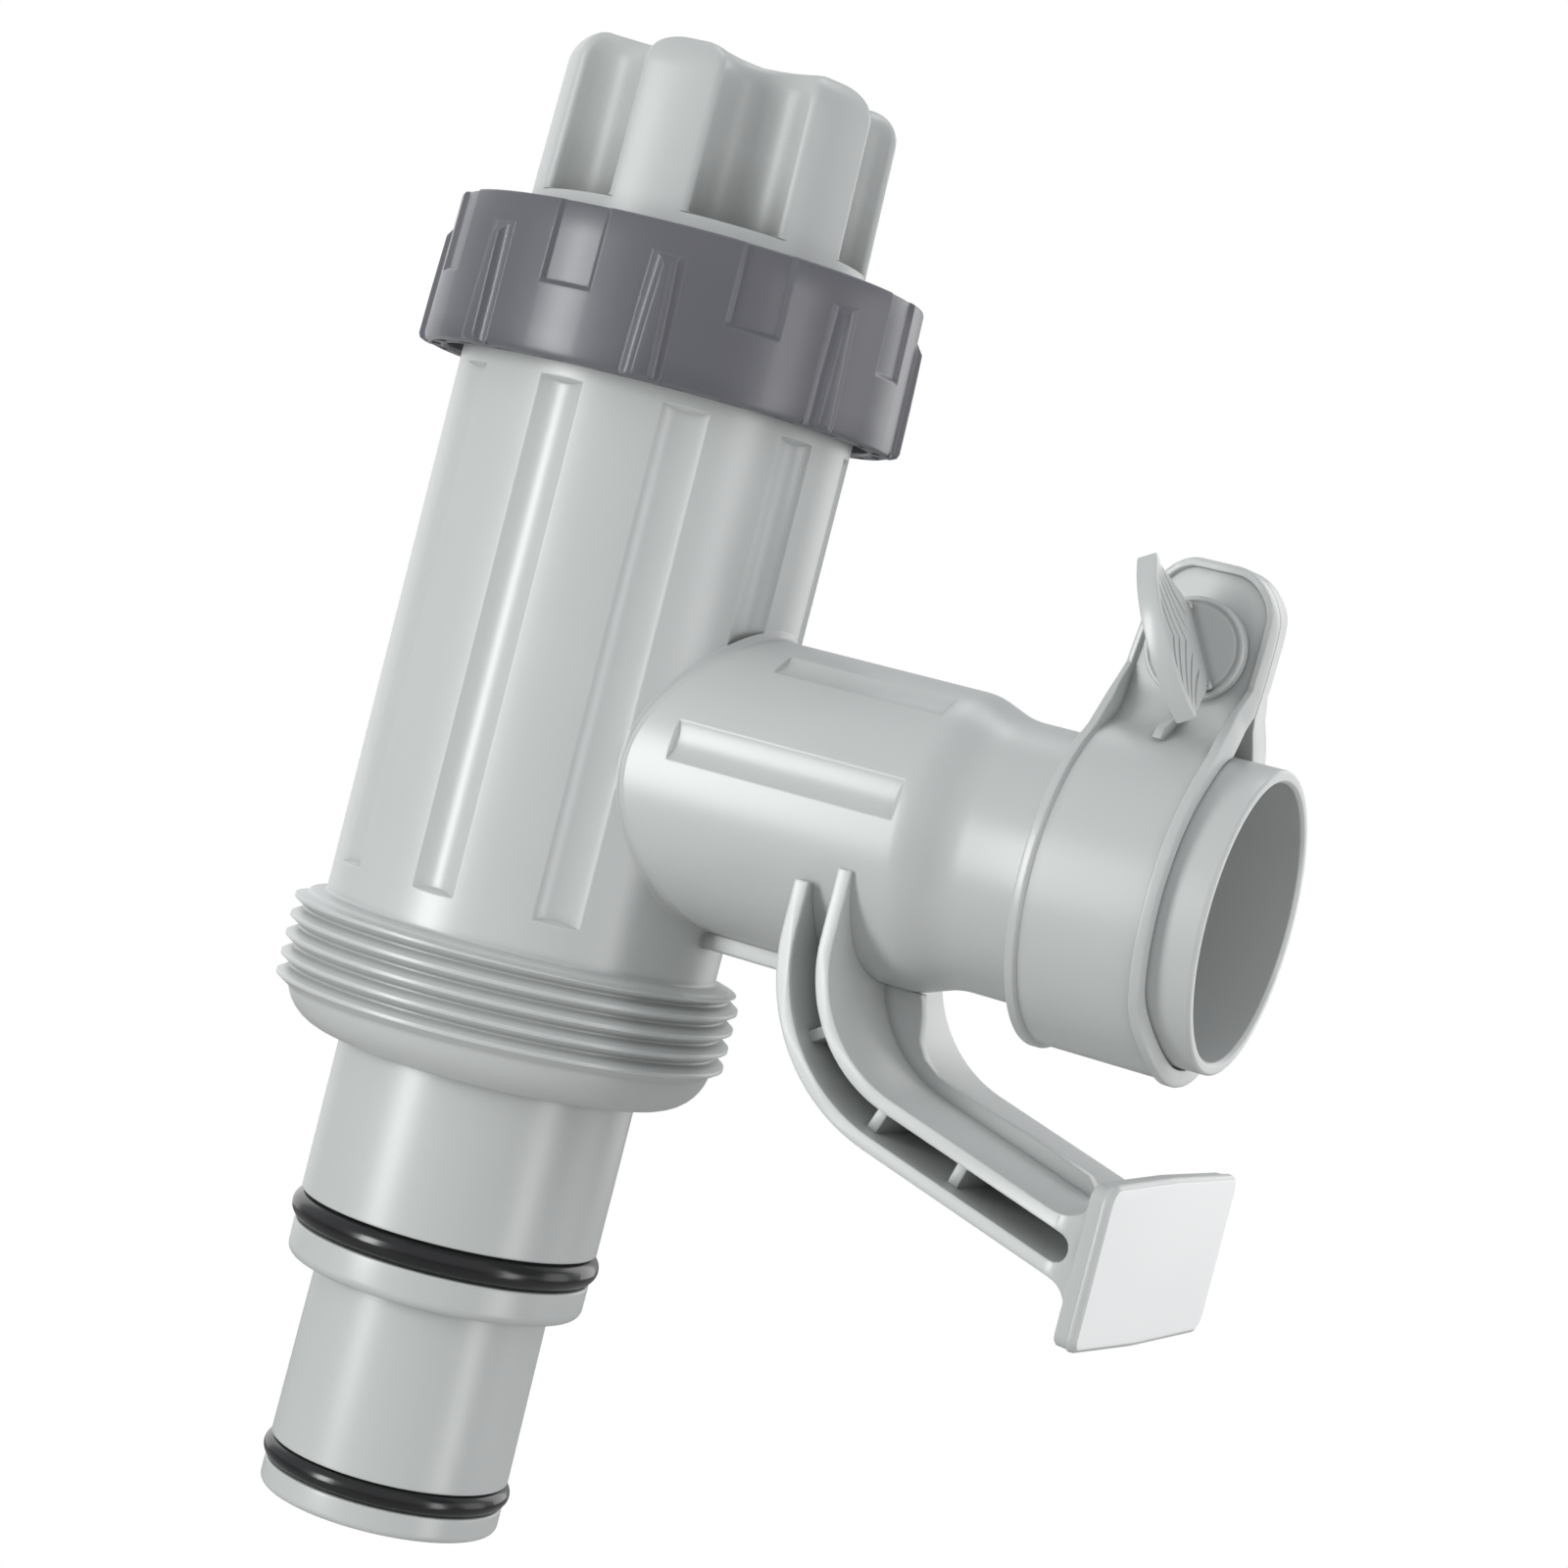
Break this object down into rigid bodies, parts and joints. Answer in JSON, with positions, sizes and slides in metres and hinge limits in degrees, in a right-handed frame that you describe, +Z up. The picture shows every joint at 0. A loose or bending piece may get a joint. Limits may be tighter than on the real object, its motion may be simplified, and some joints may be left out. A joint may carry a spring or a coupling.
{
  "type": "pool plunger valve",
  "caption": "Plunger shut-off valve for a pool hose: plug-in inlet spigot with seals, threaded collar, side hose outlet with clamp, union nut, lobed pull handle and foot bracket.",
  "frame": {"origin": "centre of the inlet end of the spigot, on the barrel axis", "axes": "+Z up the barrel to the handle, +X along the side outlet, metres"},
  "size_m": [0.1271, 0.0632, 0.1945],
  "materials": {
    "body_plastic": "satin moulded, light cool grey",
    "nut_plastic": "satin moulded, dark grey",
    "inner_plastic": "smooth moulded, mid grey",
    "seal_rubber": "glossy greased rubber",
    "steel": "plain stainless"
  },
  "bodies": {
    "valve": {"valve_body": "body_plastic", "foot_bracket": "body_plastic", "spigot_oring_large": "seal_rubber", "spigot_oring_small": "seal_rubber"},
    "bonnet_unit": {"bonnet": "inner_plastic", "bonnet_oring": "seal_rubber", "stem_oring": "seal_rubber"},
    "nut": {"union_nut": "nut_plastic"},
    "piston_unit": {"piston": "inner_plastic", "piston_oring": "seal_rubber", "seat_washer": "seal_rubber"},
    "plunger": {"plunger_handle": "body_plastic", "handle_pin": "steel", "plunger_stem": "inner_plastic", "retaining_washer": "inner_plastic", "piston_screw": "steel"},
    "clamp": {"clamp_half_far": "body_plastic", "clamp_nut": "steel"},
    "clamp_flap": {"clamp_half_near": "body_plastic"},
    "wing": {"wing_screw": "body_plastic"}
  },
  "joints": [
    {"name": "bonnet_lift", "type": "slide", "parent": "valve", "child": "bonnet_unit", "axis": [0, 0, 1], "range_m": [0, 0.00901]},
    {"name": "nut_turn", "type": "hinge", "parent": "bonnet_unit", "child": "nut", "pos_m": [0, 0, 0.16], "axis": [0, 0, 1], "range_deg": [0, 1080]},
    {"name": "plunger_lift", "type": "slide", "parent": "bonnet_unit", "child": "piston_unit", "axis": [0, 0, 1], "range_m": [0, 0.056]},
    {"name": "plunger_turn", "type": "hinge", "parent": "piston_unit", "child": "plunger", "pos_m": [0, 0, 0.182], "axis": [0, 0, 1], "range_deg": [0, 90]},
    {"name": "clamp_swivel", "type": "hinge", "parent": "valve", "child": "clamp", "pos_m": [0.0814, 0, 0.1047], "axis": [1, 0, 0], "range_deg": [-60, 60]},
    {"name": "clamp_open", "type": "hinge", "parent": "clamp", "child": "clamp_flap", "pos_m": [0.0814, 0, 0.0832], "axis": [1, 0, 0], "range_deg": [0, 2.76]},
    {"name": "wing_turn", "type": "hinge", "parent": "clamp_flap", "child": "wing", "pos_m": [0.0814, -0.005, 0.1352], "axis": [0, -1, 0], "range_deg": [0, 720]}
  ],
  "couplings": [
    {"joint": "bonnet_lift", "follows": "nut_turn", "m_per_rad": 0.00047746},
    {"joint": "clamp_open", "follows": "wing_turn", "ratio": 0.0038259}
  ]
}
